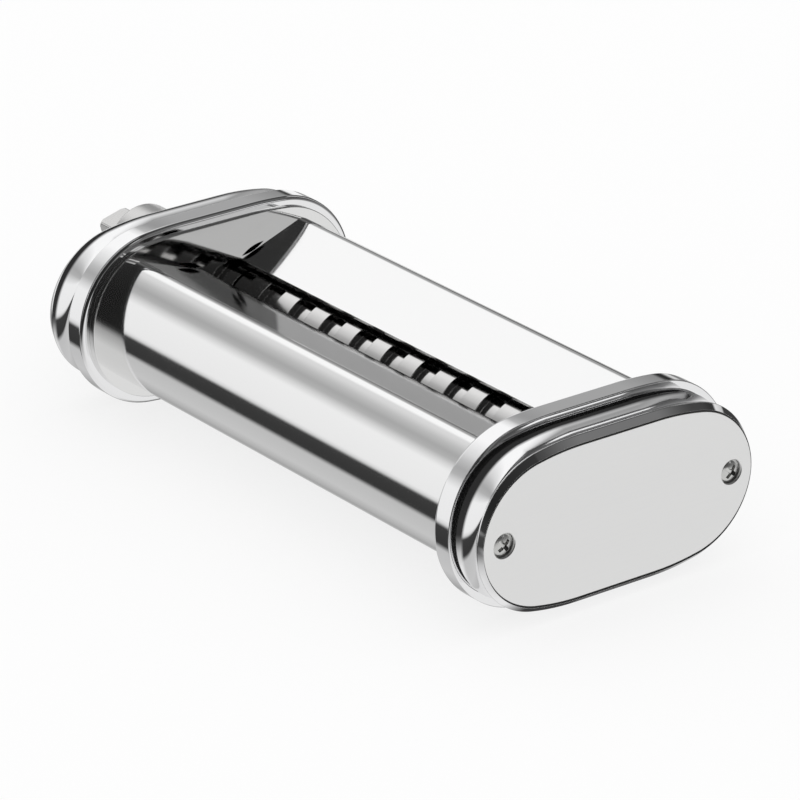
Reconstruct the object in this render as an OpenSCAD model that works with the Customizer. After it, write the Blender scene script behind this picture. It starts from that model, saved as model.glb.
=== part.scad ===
// Mixer-driven pasta cutter: two meshing cutter rollers between chromed end caps,
// fed through a trough of two folded covers and driven by a square tang.
// X runs along the rollers, -Y is the front cover, Z is up from the surface it stands on.

/* [End caps] */
// Width of each end flange, front to back
end_w = 102; // [96:1:116]
// Height of each end flange
end_h = 57; // [54:1:66]
// How much smaller a flange's nose radius is than half its height
end_nose_cut = 0.5; // [0.2:0.1:3]
// Radius of the shallow shoulders that join the noses to the flats
end_shoulder_r = 130; // [90:5:180]
// Thickness of each flange along the rollers
flange_t = 7.2; // [6.5:0.1:9]
// Rounding of the flange's inner edge
flange_round = 1.4; // [0.6:0.1:1.8]
// Thickness of the web that closes the inner side of a flange
web_t = 2.2; // [1.8:0.1:3]
// Wall of the flange rim
rim_wall = 5; // [4:0.5:6]

/* [Cap bodies] */
// Width of the flat face at each end
face_w = 95.6; // [92:0.2:97]
// Height of the flat face at each end
face_h = 47.8; // [45:0.2:50]
// How much smaller the flat face's nose radius is than half its height
face_nose_cut = 1.1; // [0.2:0.1:3]
// Shoulder radius of the flat face
face_shoulder_r = 82; // [60:1:120]
// Depth of a cap body, from its seal to the flat face
cap_depth = 11.6; // [10.5:0.1:15]
// Bevel round the flat face
face_bevel = 1.9; // [1:0.1:2.2]
// How far the side of the cap body dips in between bevel and seal
cove_dip = 0.85; // [0.3:0.05:1.1]
// Wall of the cap bodies
cap_wall = 2.6; // [2:0.1:3.2]
// Thickness of the seal between flange and cap body
seal_t = 1.2; // [0.8:0.1:1.6]
// How far the seal stands outside the outline of the flat face
seal_proud = 0.6; // [0:0.1:1]
// Thickness of the inlaid end plate
end_plate_t = 2.2; // [1.9:0.1:2.6]
// Gap round the inlaid end plate
end_plate_gap = 0.15; // [0.05:0.05:0.4]

/* [Covers] */
// Clear length between the side plates
feed_len = 168.2; // [120:0.2:220]
// Thickness of the side plates
side_plate_t = 2; // [1.5:0.1:2.5]
// How far a side plate's edge lies inside the flange outline
side_plate_inset = 3; // [2.5:0.1:4]
// Outer radius of each rounded cover
cover_r = 24.5; // [23.5:0.1:25.2]
// Distance of each cover's centre from the middle
cover_y = 18; // [17:0.1:19]
// Thickness of the cover sheet
cover_t = 1.2; // [0.8:0.1:1.6]
// Half width of the slot at the bottom of the feed trough
slot_half = 7.3; // [6.5:0.1:8.5]
// Height of the trough's bottom edges above the middle of the end caps
slot_z = 12.3; // [11:0.1:14]
// Distance of each trough ridge from the middle
ridge_y = 30; // [28:0.1:32]
// Height of the ridge centres above the middle of the end caps
ridge_z = 20.3; // [19.5:0.1:21]
// Radius of the rolled ridge
ridge_r = 1.6; // [1.3:0.1:2]

/* [Cutter rollers] */
// Radius of the cutting discs
disc_r = 12.3; // [12.1:0.05:12.6]
// Radius of the roller core between the discs
core_r = 10; // [9:0.1:10.5]
// Distance of the roller axes below the middle of the end caps
roller_drop = 2.2; // [1.8:0.1:2.8]
// Width of one strip of pasta
strip_w = 7.6; // [4:0.1:12]
// Number of discs on each roller
disc_count = 11; // [6:1:14]
// Side clearance between a disc and its neighbour on the other roller
disc_gap = 0.1; // [0.05:0.05:0.3]
// Radius of the roller journals
journal_r = 5; // [4:0.1:5.5]
// Outer radius of the bushes
bush_r = 7; // [6.6:0.1:7.2]
// Running clearance in the bushes, on the radius
run_gap = 0.04; // [0.02:0.01:0.08]

/* [Gears] */
// Teeth of each roller gear
sync_teeth = 13; // [13:1:13]
// Module of the roller gears
sync_module = 1.8; // [1.76:0.01:1.84]
// Teeth of the input pinion
pinion_teeth = 12; // [12:1:12]
// Teeth of the drive gear on the rear roller
drive_teeth = 12; // [12:1:12]
// Module of pinion and drive gear
drive_module = 1.2; // [1.18:0.01:1.22]
// Pressure angle of all the gears
pressure_angle = 25; // [22:1:27]
// Backlash, as an angle on each flank of a tooth
backlash = 0.8; // [0.4:0.1:1.2]
// Face width of the gears
gear_t = 5.4; // [4:0.1:5.8]
// Side gap between gears and their neighbours
gear_gap = 0.8; // [0.4:0.1:1]

/* [Drive] */
// Outer radius of the round hub boss
boss_r = 12.5; // [11:0.1:14]
// Length of the hub boss
boss_len = 21.4; // [15:0.2:28]
// Side of the square drive tang
tang_w = 10.3; // [9:0.1:11]
// Length of the drive tang
tang_len = 13.5; // [10:0.5:20]
// Corner bevel at the end of the tang
tang_bevel = 1.2; // [0.6:0.1:2]
// Angle at which the tang stands at rest
tang_tilt = 14; // [0:1:45]
// Gap between hub boss and tang
tang_gap = 0.5; // [0.3:0.1:1]

/* [Combs] */
// Thickness of the comb bar
comb_t = 2.5; // [2:0.1:3]
// Clearance between the comb bar and the discs
comb_gap = 0.4; // [0.3:0.05:0.6]
// Side clearance of a comb finger in its groove
finger_gap = 0.4; // [0.2:0.05:0.8]

/* [Fasteners] */
// Distance of the cap screws from the tips of the end caps
screw_inset = 6.4; // [6:0.1:8.8]
// Radius of the cap screw heads
screw_head_r = 3.7; // [3.5:0.1:4.5]
// Radius of the cap screw shanks
screw_r = 2; // [1.5:0.1:2.2]
// Depth of a screw head
screw_head_t = 1.2; // [1:0.1:1.4]
// Radius of the posts that take the cap screws
post_r = 3.4; // [3:0.1:3.6]
// Radius of the tie rods
tie_r = 3; // [2.6:0.1:3.4]
// Radius of the threaded ends of the tie rods
tie_end_r = 2; // [1.6:0.1:2.2]
// Thickness of the tie rod nuts
nut_t = 3.2; // [2.5:0.1:3.6]
// Thickness of the retaining rings
ring_t = 0.9; // [0.7:0.1:1.1]

/* [Hidden] */
$fn = 96;

mid_z = end_h / 2;
end_nose_r = end_h / 2 - end_nose_cut;
face_nose_r = face_h / 2 - face_nose_cut;
plate_in = feed_len / 2;                        // inner face of a side plate
flange_in = plate_in + side_plate_t;            // inner face of a flange
web_out = flange_in + web_t;
flange_out = flange_in + flange_t;
cap_in = flange_out + seal_t;
cap_out = cap_in + cap_depth;                   // the flat end face
boss_out = cap_out + boss_len;
tang_in = boss_out + tang_gap;
tang_out = tang_in + tang_len;
shift_x = (tang_out - cap_out) / 2;             // puts the origin under the middle of the whole

roller_y = sync_module * sync_teeth / 2;
roller_z = mid_z - roller_drop;
drive_dist = drive_module * (pinion_teeth + drive_teeth) / 2;
input_z = roller_z + sqrt(drive_dist * drive_dist - roller_y * roller_y);
mesh_angle = atan2(roller_z - input_z, roller_y);   // from the input axis to the rear roller
screw_y = face_w / 2 - screw_inset;              // cap screws, from the middle
pitch = 2 * strip_w;
disc_w = strip_w - disc_gap;
stack = disc_count * pitch;                     // length of the cutting part
idle_shaft_end = web_out + 0.3 + ring_t + 0.6;   // a journal that carries no gear
sync_x = web_out + gear_gap;                    // near side of the roller gears, at the idle end
sync_shaft_end = sync_x + gear_t + ring_t + 0.4;
drive_x = idle_shaft_end + gear_gap;            // near side of pinion and drive gear
drive_shaft_end = drive_x + gear_t + ring_t + 0.4;
ring_groove_r = journal_r - 0.5;
inner_shaft_r = journal_r - 1;                  // the input shaft's inner end
input_bush_r = bush_r - 1;
spigot_r = boss_r - 2.5;                        // the boss's spigot in the gear housing
ring_out_r = journal_r + 1;
slope_angle = atan2(ridge_z - slot_z, ridge_y - slot_half);
comb_in = disc_r + comb_gap;
comb_out = comb_in + comb_t;
tie_spots = [[35, 9.5], [31.5, -14]];         // Y and Z of the tie rods, mirrored to the front
nut_r = tie_end_r * 2;
wall_in = cap_out - cap_wall;                   // inner face of the cap's end wall
seat_wall = cap_wall + end_plate_t;             // the idle cap's wall behind its inlaid plate

module place() { translate([shift_x, 0, mid_z]) children(); }
// Mirrors to the drive end, where dir is -1
module at_end(dir) { place() mirror([dir < 0 ? 1 : 0, 0, 0]) children(); }
// Stands a drawing in Y and Z up, and runs it from x0 to x1
module along_x(x0, x1) { translate([x0, 0, 0]) rotate([90, 0, 90]) linear_extrude(x1 - x0) children(); }
module rod(x0, x1, r, y = 0, z = 0, n = $fn) {
  translate([x0, y, z]) rotate([0, 90, 0]) cylinder(h = x1 - x0, r = r, $fn = n);
}
// Both pieces of a front and rear pair
module pair() { children(); mirror([0, 1, 0]) children(); }

// --- Oval outline: nose arcs, shoulder arcs and flats, all tangent ---
function nose_y(w, nose) = w / 2 - nose;
function shoulder_y(w, h, nose, sh) = nose_y(w, nose) - sqrt(pow(sh - nose, 2) - pow(sh - h / 2, 2));
function shoulder_turn(h, nose, sh) = asin((sh - h / 2) / (sh - nose));
function arc(cy, cz, r, a0, a1, n) = [for (i = [0 : n]) let (a = a0 + (a1 - a0) * i / n)
  [cy + r * cos(a), cz + r * sin(a)]];
function quarter(w, h, nose, sh, d) = let (t = shoulder_turn(h, nose, sh)) concat(
  arc(nose_y(w, nose), 0, nose + d, 0, t, 12),
  arc(shoulder_y(w, h, nose, sh), h / 2 - sh, sh + d, t, 90, 6));
function flip(p, sy, sz) = [for (q = p) [sy * q[0], sz * q[1]]];
function back(p) = [for (i = [len(p) - 1 : -1 : 0]) p[i]];
// Drops each point that repeats the one before it
function tidy(p) = [for (i = [0 : len(p) - 1]) if (norm(p[i] - p[(i + len(p) - 1) % len(p)]) > 0.001) p[i]];
function oval(w, h, nose, sh, d) = let (q = quarter(w, h, nose, sh, d))
  tidy(concat(q, back(flip(q, -1, 1)), flip(q, -1, -1), back(flip(q, 1, -1))));
module flange_oval(d) { polygon(oval(end_w, end_h, end_nose_r, end_shoulder_r, d)); }
module face_oval(d) { polygon(oval(face_w, face_h, face_nose_r, face_shoulder_r, d)); }

// A solid through a row of ovals, one for each step [X, outward]
module loft(w, h, nose, sh, steps) {
  rings = [for (s = steps) [for (q = oval(w, h, nose, sh, s[1])) [s[0], q[0], q[1]]]];
  n = len(rings[0]);
  last = len(steps) - 1;
  polyhedron(points = [for (r = rings) each r], faces = concat(
    [[for (i = [0 : n - 1]) i]], [[for (i = [n - 1 : -1 : 0]) last * n + i]],
    [for (k = [0 : last - 1], i = [0 : n - 1])
      [k * n + i, (k + 1) * n + i, (k + 1) * n + (i + 1) % n, k * n + (i + 1) % n]]));
}

// --- End flanges ---
flange_steps = concat([for (a = [0 : 22.5 : 90]) [flange_in + flange_round * (1 - cos(a)), flange_round * (sin(a) - 1)]],
  [[flange_out - 0.4, 0], [flange_out, -0.4]]);
module flange() {
  difference() {
    union() {
      difference() {
        loft(end_w, end_h, end_nose_r, end_shoulder_r, flange_steps);
        along_x(web_out, flange_out + 1) flange_oval(-rim_wall);
      }
      pair() rod(flange_in + 0.5, cap_out - seat_wall, post_r, screw_y);
    }
    for (s = [-1, 1]) rod(flange_in - 1, web_out + 1, bush_r, s * roller_y, -roller_drop);
    for (s = [-1, 1], t = tie_spots) rod(flange_in - 1, web_out + 1, tie_end_r, s * t[0], t[1]);
    pair() rod(web_out, cap_out, screw_r, screw_y);
    children();
  }
}
module drive_flange() {
  color("gainsboro") at_end(-1) flange()
    rod(flange_in - 1, web_out + 1, input_bush_r, 0, input_z - mid_z);
}
module idle_flange() { color("gainsboro") at_end(1) flange(); }

// --- Side plates ---
module side_plate() {
  difference() {
    along_x(plate_in, flange_in) flange_oval(-side_plate_inset);
    for (s = [-1, 1]) rod(plate_in - 1, flange_in + 1, bush_r, s * roller_y, -roller_drop);
    for (s = [-1, 1], t = tie_spots) rod(plate_in - 1, flange_in + 1, tie_end_r, s * t[0], t[1]);
    pair() cover_slot();
  }
}
// Leaf-shaped slot above the trough slope
leaf_len = 7.6;
leaf_w = 1.9;
module cover_slot() {
  r = (pow(leaf_len / 2, 2) + pow(leaf_w / 2, 2)) / leaf_w;
  translate([0, slot_half + 5.2 * cos(slope_angle) - 0.9, slot_z + 5.2 * sin(slope_angle) + 1.2])
    rotate([slope_angle, 0, 0]) along_x(plate_in - 1, plate_in + side_plate_t / 2) intersection() {
      translate([0, r - leaf_w / 2]) circle(r);
      translate([0, leaf_w / 2 - r]) circle(r);
    }
}
module drive_side_plate() { color("silver") at_end(-1) side_plate(); }
module idle_side_plate() { color("silver") at_end(1) side_plate(); }

// --- Cap bodies ---
cove_half = (cap_depth - face_bevel) / 2;
cove_r = (cove_half * cove_half + cove_dip * cove_dip) / (2 * cove_dip);
cove_mid = cap_in + cove_half;
cove_turn = asin(cove_half / cove_r);
// Steps of the cap's side as [X, outward], through the cove and over the bevel
cap_steps = concat([for (i = [0 : 10]) let (a = -cove_turn + 2 * cove_turn * i / 10)
  [cove_mid + cove_r * sin(a), face_bevel - cove_dip + cove_r * (1 - cos(a))]], [[cap_out, 0]]);
module cap_body(inlay) {
  difference() {
    loft(face_w, face_h, face_nose_r, face_shoulder_r, cap_steps);
    along_x(cap_in - 1, cap_out - cap_wall - inlay) face_oval(-cap_wall);
    if (inlay > 0) along_x(cap_out - inlay, cap_out + 1) face_oval(-cap_wall * 0.12);
    children();
  }
}
module screw_holes(head_seat) {
  pair() {
    rod(web_out, cap_out + 1, screw_r, screw_y);
    rod(head_seat, cap_out + 1, screw_head_r, screw_y);
  }
}
head_in = cap_out - 0.3 - screw_head_t;         // heads lie just under the face
module gear_housing() {
  color("gainsboro") at_end(-1) cap_body(0) {
    rod(wall_in - 1, cap_out + 1, spigot_r, 0, input_z - mid_z);
    screw_holes(head_in);
  }
}
module idle_cover() {
  color("gainsboro") at_end(1) cap_body(end_plate_t) screw_holes(cap_out + 0.5);
}
module end_plate() {
  color("gainsboro") at_end(1) difference() {
    along_x(cap_out - end_plate_t, cap_out) face_oval(-cap_wall * 0.12 - end_plate_gap);
    screw_holes(head_in);
  }
}
module seal() {
  along_x(flange_out, cap_in) difference() {
    face_oval(seal_proud);
    face_oval(-cap_wall);
  }
}
module drive_seal() { color([0.06, 0.06, 0.06]) at_end(-1) seal(); }
module idle_seal() { color([0.06, 0.06, 0.06]) at_end(1) seal(); }

// --- Cap screws: pan heads with a cross recess ---
module cross_recess(x) {
  for (a = [45, 135]) translate([x - 1.1, screw_y, 0]) rotate([a, 0, 0])
    translate([0, -screw_head_r * 0.55, -0.5]) cube([2, screw_head_r * 1.1, 1]);
}
module cap_screws(head_x) {
  pair() difference() {
    union() {
      rod(web_out + 2, head_x + 0.1, screw_r, screw_y);
      rod(head_x, head_x + screw_head_t, screw_head_r - 0.1, screw_y);
    }
    cross_recess(head_x + screw_head_t);
  }
}
module end_plate_screws() { color("silver") at_end(1) cap_screws(head_in); }
module housing_screws() { color("silver") at_end(-1) cap_screws(head_in); }

// --- Hub ---
module hub_boss() {
  color("silver") at_end(-1) translate([0, 0, input_z - mid_z]) difference() {
    union() {
      rod(cap_out, boss_out - 1, boss_r);
      translate([boss_out - 1, 0, 0]) rotate([0, 90, 0]) cylinder(h = 1, r1 = boss_r, r2 = boss_r - 1);
      rod(wall_in, cap_out, spigot_r);
    }
    rod(wall_in - 1, boss_out + 1, bush_r);
  }
}
module bush(x0, x1, shaft_r, outer_r) {
  difference() {
    rod(x0, x1, outer_r);
    rod(x0 - 1, x1 + 1, shaft_r + run_gap);
  }
}
module hub_bush() {
  color("darkgoldenrod") at_end(-1) translate([0, 0, input_z - mid_z])
    bush(wall_in, boss_out, journal_r, bush_r);
}
module input_bush() {
  color("darkgoldenrod") at_end(-1) translate([0, 0, input_z - mid_z])
    bush(flange_in, web_out, inner_shaft_r, input_bush_r);
}
module roller_bush(dir, s) {
  color("darkgoldenrod") at_end(dir) translate([0, s * roller_y, -roller_drop])
    bush(plate_in, web_out, journal_r, bush_r);
}
module front_drive_bush() { roller_bush(-1, -1); }
module rear_drive_bush() { roller_bush(-1, 1); }
module front_idle_bush() { roller_bush(1, -1); }
module rear_idle_bush() { roller_bush(1, 1); }

// --- Covers: rolled ridge, trough slope and rounded outer wall in one folded sheet ---
module cover_section() {
  low = -92;                                    // where the outer wall ends, under the middle
  ridge_turn = atan2(ridge_z, ridge_y - cover_y);
  difference() {
    union() {
      intersection() {
        translate([cover_y, 0]) circle(cover_r);
        translate([cover_y, 0]) polygon(concat([[0, 0]], arc(0, 0, 2 * cover_r, low, ridge_turn, 12)));
      }
      translate([ridge_y, ridge_z]) circle(ridge_r, $fn = 48);
      translate([slot_half, slot_z]) rotate(slope_angle) translate([0, -cover_t])
        square([norm([ridge_y - slot_half, ridge_z - slot_z]), cover_t]);
    }
    intersection() {
      translate([cover_y, 0]) circle(cover_r - cover_t);
      translate([slot_half, slot_z]) rotate(slope_angle) translate([-60, -cover_t - 80]) square([140, 80]);
    }
  }
}
module cover() { place() along_x(-plate_in, plate_in) cover_section(); }
module rear_cover() { color("gainsboro") cover(); }
module front_cover() { color("gainsboro") mirror([0, 1, 0]) cover(); }

// --- Combs: a bar under each roller with a finger in every groove ---
module ring_sector(r0, r1, a0, a1) {
  difference() {
    intersection() {
      circle(r1);
      polygon(concat([[0, 0]], arc(0, 0, 3 * r1, a0, a1, 8)));
    }
    circle(r0);
  }
}
// Start of groove number i on a roller whose first disc starts at x0
function groove_x(x0, i) = x0 + disc_w + pitch * i;
module comb(x0, first) {
  place() translate([0, roller_y, -roller_drop]) {
    along_x(-plate_in, plate_in) ring_sector(comb_in, comb_out, -112, -62);
    for (i = [first : first + disc_count - 1])
      along_x(groove_x(x0, i) + finger_gap, groove_x(x0, i) + pitch - disc_w - finger_gap)
        ring_sector(core_r + comb_gap, comb_in + comb_t / 2, -148, -72);
  }
}
stack_x0 = -stack / 2;
front_x0 = stack_x0;
rear_x0 = stack_x0 + strip_w;
module rear_comb() { color("dimgray") comb(rear_x0, -1); }
module front_comb() { color("dimgray") mirror([0, 1, 0]) comb(front_x0, 0); }

// --- Tie rods ---
module tie_rods() {
  color("silver") place() for (s = [-1, 1], t = tie_spots) {
    rod(-plate_in, plate_in, tie_r, s * t[0], t[1]);
    rod(-web_out - nut_t - 0.5, web_out + nut_t + 0.5, tie_end_r, s * t[0], t[1]);
  }
}
module tie_rod_nuts() {
  color("silver") for (dir = [-1, 1]) at_end(dir) for (s = [-1, 1], t = tie_spots) difference() {
    rod(web_out, web_out + nut_t, nut_r, s * t[0], t[1], 6);
    rod(web_out - 1, web_out + nut_t + 1, tie_end_r, s * t[0], t[1]);
  }
}

// --- Rollers: journals, core and discs turned from one bar ---
function roller_profile(x0, left, right) = concat(
  [[0, left], [ring_groove_r + 0.5, left], [journal_r, left + 0.4], [ring_groove_r, left + 0.4],
    [ring_groove_r, left + 0.4 + ring_t], [journal_r, left + 0.4 + ring_t],
    [journal_r, stack_x0], [core_r, stack_x0]],
  [for (i = [0 : disc_count - 1], k = [0 : 3]) let (x = x0 + pitch * i)
    [k == 0 || k == 3 ? core_r : disc_r, k < 2 ? x : x + disc_w]],
  [[core_r, -stack_x0], [journal_r, -stack_x0], [journal_r, right - 0.4 - ring_t],
    [ring_groove_r, right - 0.4 - ring_t], [ring_groove_r, right - 0.4], [journal_r, right - 0.4],
    [journal_r, right], [0, right]]);
module roller(s, x0, left, right) {
  place() translate([0, s * roller_y, -roller_drop]) rotate([0, 90, 0]) rotate_extrude()
    polygon(tidy(roller_profile(x0, left, right)));
}
module rear_cutter_roller() { color("silver") roller(1, rear_x0, -drive_shaft_end, sync_shaft_end); }
module front_cutter_roller() { color("silver") roller(-1, front_x0, -idle_shaft_end, sync_shaft_end); }

module retaining_ring(dir, shaft_end, y, z) {
  color("dimgray") at_end(dir) difference() {
    rod(shaft_end - 0.4 - ring_t, shaft_end - 0.4, ring_out_r, y, z);
    rod(shaft_end - 2 - ring_t, shaft_end + 1, ring_groove_r, y, z);
  }
}
module rear_drive_ring() { retaining_ring(-1, drive_shaft_end, roller_y, -roller_drop); }
module rear_idle_ring() { retaining_ring(1, sync_shaft_end, roller_y, -roller_drop); }
module front_drive_ring() { retaining_ring(-1, idle_shaft_end, -roller_y, -roller_drop); }
module front_idle_ring() { retaining_ring(1, sync_shaft_end, -roller_y, -roller_drop); }

// --- Gears with involute flanks ---
function involute(a) = tan(a) * 180 / PI - a;
function flank(n, m, r) = let (base = m * n / 2 * cos(pressure_angle))
  90 / n - backlash + involute(pressure_angle) - involute(r > base ? acos(base / r) : 0);
function tooth(n, m) = let (pr = m * n / 2, tip = pr + 0.85 * m, root = pr - 1.15 * m,
  rs = [for (i = [0 : 6]) max(root, pr * cos(pressure_angle)) + (tip - max(root, pr * cos(pressure_angle))) * i / 6])
  concat([[root, -flank(n, m, rs[0]) - 1]], [for (r = rs) [r, -flank(n, m, r)]],
    [for (i = [6 : -1 : 0]) [rs[i], flank(n, m, rs[i])]], [[root, flank(n, m, rs[0]) + 1]]);
function gear_points(n, m, turn) = [for (i = [0 : n - 1], t = tooth(n, m))
  let (a = turn + 360 * i / n + t[1]) [t[0] * cos(a), t[0] * sin(a)]];
module gear(n, m, turn, x0, y, z) {
  place() translate([0, y, z]) difference() {
    along_x(-x0 - gear_t, -x0) polygon(gear_points(n, m, turn));
    rod(-x0 - gear_t - 1, -x0 + 1, journal_r);
  }
}
module rear_sync_gear() {
  color("peru") gear(sync_teeth, sync_module, 180, -sync_x - gear_t, roller_y, -roller_drop);
}
module front_sync_gear() {
  color("peru") gear(sync_teeth, sync_module, 180 / sync_teeth, -sync_x - gear_t, -roller_y,
    -roller_drop);
}
module rear_drive_gear() {
  color("peru") gear(drive_teeth, drive_module, mesh_angle + 180 + 180 / drive_teeth, drive_x,
    roller_y, -roller_drop);
}
module input_pinion() {
  color("peru") gear(pinion_teeth, drive_module, mesh_angle, drive_x, 0, input_z - mid_z);
}

// --- Input shaft with its square tang ---
module input_shaft() {
  color("darkgray") at_end(-1) translate([0, 0, input_z - mid_z]) {
    rod(flange_in + 0.3, drive_x, inner_shaft_r);
    difference() {
      rod(drive_x, tang_in + 0.1, journal_r);
      difference() {
        rod(drive_x + gear_t, drive_x + gear_t + ring_t, journal_r + 1);
        rod(drive_x, tang_in, ring_groove_r);
      }
    }
    intersection() {
      translate([tang_in, 0, 0]) rotate([-tang_tilt, 0, 0]) translate([0, -tang_w / 2, -tang_w / 2])
        cube([tang_len, tang_w, tang_w]);
      union() {
        rod(tang_in, tang_out - tang_bevel, tang_w);
        translate([tang_out - tang_bevel, 0, 0]) rotate([0, 90, 0])
          cylinder(h = tang_bevel, r1 = tang_w * 0.72, r2 = tang_w * 0.72 - tang_bevel);
      }
    }
  }
}
module input_ring() {
  retaining_ring(-1, drive_x + gear_t + ring_t + 0.4, 0, input_z - mid_z);
}

drive_flange();
idle_flange();
drive_side_plate();
idle_side_plate();
gear_housing();
hub_boss();
hub_bush();
idle_cover();
drive_seal();
idle_seal();
end_plate();
end_plate_screws();
housing_screws();
front_cover();
rear_cover();
front_comb();
rear_comb();
tie_rods();
tie_rod_nuts();
front_drive_bush();
rear_drive_bush();
front_idle_bush();
rear_idle_bush();
input_bush();
input_shaft();
input_pinion();
input_ring();
rear_cutter_roller();
rear_drive_gear();
rear_sync_gear();
rear_drive_ring();
rear_idle_ring();
front_cutter_roller();
front_sync_gear();
front_drive_ring();
front_idle_ring();
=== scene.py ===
import bmesh
import bpy
import numpy as np
from mathutils import Matrix


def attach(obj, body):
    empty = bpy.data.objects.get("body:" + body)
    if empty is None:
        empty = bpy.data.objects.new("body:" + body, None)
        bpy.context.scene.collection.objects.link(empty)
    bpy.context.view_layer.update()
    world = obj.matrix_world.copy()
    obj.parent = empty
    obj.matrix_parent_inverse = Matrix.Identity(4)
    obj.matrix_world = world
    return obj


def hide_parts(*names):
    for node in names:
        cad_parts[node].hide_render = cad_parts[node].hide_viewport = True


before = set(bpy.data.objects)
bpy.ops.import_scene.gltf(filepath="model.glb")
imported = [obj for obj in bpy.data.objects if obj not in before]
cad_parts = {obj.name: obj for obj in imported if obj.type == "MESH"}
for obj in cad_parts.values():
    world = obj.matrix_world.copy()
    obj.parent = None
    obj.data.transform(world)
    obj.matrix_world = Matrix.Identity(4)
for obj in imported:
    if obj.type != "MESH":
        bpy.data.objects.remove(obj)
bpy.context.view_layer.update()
print("frame loaded")

# Lengths are in millimetres, with X from the middle of the body and Z from the middle of the end caps.
middle = np.array([17.7, 0.0, 28.5])
station = {"plateIn": 84.1, "flangeIn": 86.1, "webOut": 88.3, "flangeOut": 93.3, "capIn": 94.5,
           "capOut": 106.1, "bossOut": 127.5, "tangIn": 128.0, "tangOut": 141.5}
flangeOval = {"width": 102.0, "height": 57.0, "nose": 28.0, "shoulder": 130.0}
capOval = {"width": 99.4, "height": 51.6, "nose": 24.7, "shoulder": 83.9}
rollerAxis = {"y": 11.7, "z": -2.2, "bush": 7.0}
inputAxis = {"y": 0.0, "z": 6.195, "bush": 6.0}
tieSpots = [(35.0, 9.5), (31.5, -14.0)]
fixing = {"y": 41.4, "hole": 2.0, "steps": 32}  # the screws of both caps, and the hole of a screw or tie rod


# Outlines and sweeps
def ovalOutline(oval, offset=0.0, noseSteps=44, shoulderSteps=6):
    # Points and outward normals: a nose arc centre + r (cos a, sin a), a shoulder arc on the same
    # rule, tangent to it where sin a = (shoulder - half height) / (shoulder - nose), and mirrored twice
    nose, shoulder, half = oval["nose"], oval["shoulder"], oval["height"] / 2
    turn = np.arcsin((shoulder - half) / (shoulder - nose))
    noseY = oval["width"] / 2 - nose
    shoulderY = noseY - (shoulder - nose) * np.cos(turn)
    noseTurn = np.linspace(0, turn, noseSteps + 1)
    shoulderTurn = np.linspace(turn, np.pi / 2, shoulderSteps + 1)[1:]
    angle = np.concatenate([noseTurn, shoulderTurn])
    radius = np.where(angle <= turn + 1e-9, nose, shoulder)
    centre = np.where((angle <= turn + 1e-9)[:, None], [noseY, 0.0], [shoulderY, half - shoulder])
    normal = np.stack([np.cos(angle), np.sin(angle)], 1)
    point = centre + (radius + offset)[:, None] * normal

    def allRound(quarter):
        left, under, right = quarter * [-1, 1], quarter * [-1, -1], quarter * [1, -1]
        return np.concatenate([quarter, left[::-1], under[1:], right[::-1][:-1]])

    return allRound(point), allRound(normal)


def circleOutline(radius=0.0, steps=96, y=0.0, z=0.0):
    # centre + radius (cos a, sin a), and the direction itself as normal
    angle = np.linspace(0, 2 * np.pi, steps, endpoint=False)
    normal = np.stack([np.cos(angle), np.sin(angle)], 1)
    return np.array([y, z]) + radius * normal, normal


def roundCorners(corners, steps=5, closed=False):
    # Each corner (u, v, radius) becomes an arc tangent to both its edges, a distance r / tan(half angle) away
    pts = np.array([c[:2] for c in corners], float)
    radii = [c[2] if len(c) > 2 else 0 for c in corners]
    out = []
    for i, p in enumerate(pts):
        if radii[i] == 0 or (not closed and i in (0, len(pts) - 1)):
            out.append(p[None])
            continue
        a = pts[i - 1] - p
        b = pts[(i + 1) % len(pts)] - p
        a, b = a / np.linalg.norm(a), b / np.linalg.norm(b)
        half = np.arccos(np.clip(a @ b, -1, 1)) / 2
        centre = p + (a + b) / np.linalg.norm(a + b) * radii[i] / np.sin(half)
        start = p + a * radii[i] / np.tan(half) - centre
        end = p + b * radii[i] / np.tan(half) - centre
        sweep = np.arctan2(start[0] * end[1] - start[1] * end[0], start @ end)
        t = np.linspace(0, sweep, steps + 1)
        turnedX = start[0] * np.cos(t) - start[1] * np.sin(t)
        turnedY = start[0] * np.sin(t) + start[1] * np.cos(t)
        out.append(centre + np.stack([turnedX, turnedY], 1))
    return np.concatenate(out)


def addMesh(name, verts, faces, mirrored=False):
    # Puts points in millimetres into a mesh in the row frame, in metres
    verts = np.array(verts, float)
    if mirrored:
        verts = verts * [-1, 1, 1]
    mesh = bpy.data.meshes.new(name)
    mesh.from_pydata(((verts + middle) / 1000).tolist(), [], faces)
    work = bmesh.new()
    work.from_mesh(mesh)
    bmesh.ops.remove_doubles(work, verts=work.verts, dist=1e-6)
    bmesh.ops.dissolve_degenerate(work, edges=work.edges, dist=1e-7)
    bmesh.ops.recalc_face_normals(work, faces=work.faces)
    work.to_mesh(mesh)
    work.free()
    obj = bpy.data.objects.new(name, mesh)
    bpy.context.scene.collection.objects.link(obj)
    return obj


def sweepAround(name, outline, profile, closed=False, mirrored=False, bend=None):
    # Grid over outline point k and profile point m = (x, d): place = (x, point_k + (d + bend_km) * normal_k)
    points, normals = outline
    around, along = len(points), len(profile)
    out = profile[None, :, 1:2] + (0 if bend is None else bend[:, :, None])
    ring = points[:, None, :] + out * normals[:, None, :]
    x = np.broadcast_to(profile[None, :, 0:1], (around, along, 1))
    verts = np.concatenate([x, ring], 2).reshape(-1, 3)
    k = np.arange(around)[:, None]
    m = np.arange(along if closed else along - 1)[None, :]
    k2, m2 = (k + 1) % around, (m + 1) % along
    quads = np.stack([k * along + m, k2 * along + m, k2 * along + m2, k * along + m2], 2).reshape(-1, 4)
    faces = quads.tolist()
    if not closed:
        faces.append((np.arange(around)[::-1] * along).tolist())
        faces.append((np.arange(around) * along + along - 1).tolist())
    return addMesh(name, verts, faces, mirrored)


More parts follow.
